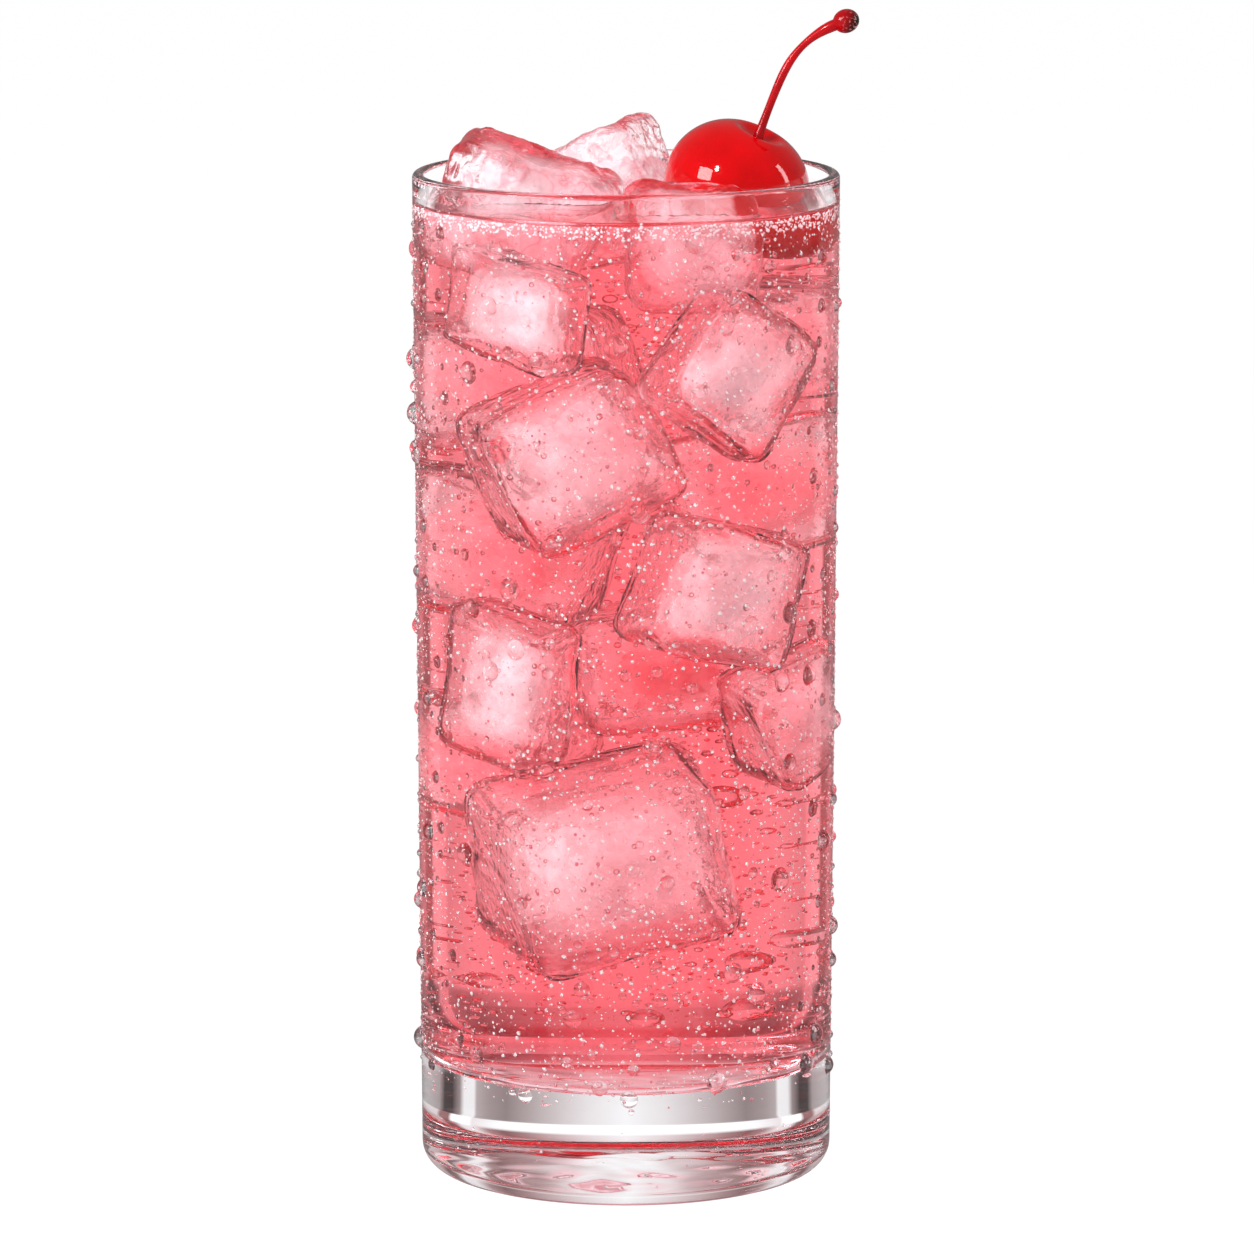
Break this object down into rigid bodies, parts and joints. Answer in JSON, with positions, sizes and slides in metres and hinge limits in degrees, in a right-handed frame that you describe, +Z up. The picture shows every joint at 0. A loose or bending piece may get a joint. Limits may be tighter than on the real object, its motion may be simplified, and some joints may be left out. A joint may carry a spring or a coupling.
{
  "type": "pink collins",
  "caption": "Iced pink drink in a tall straight glass with a thick clear base, topped with ice blocks and a red cocktail cherry on its stalk.",
  "frame": {"origin": "centre of the glass's foot, on the surface it stands on", "axes": "+Z up along the glass's axis, -Y towards the drinker, +X towards the side where the cherry floats"},
  "size_m": [0.0669, 0.064, 0.176],
  "materials": {
    "glass": "clear, polished, with cold condensation outside",
    "drink": "clear pink liquid with fine bubbles",
    "ice": "wet, melting, with small air bubbles",
    "cherry": "wet and glossy, syrup-soaked fruit",
    "cherry_stem": "satin, dyed red, darker at the knob"
  },
  "bodies": {
    "root": {"glass": "glass", "drink": "drink", "ice_left": "ice", "ice_back": "ice", "ice_front": "ice", "cherry": "cherry", "cherry_stem": "cherry_stem"}
  },
  "joints": []
}
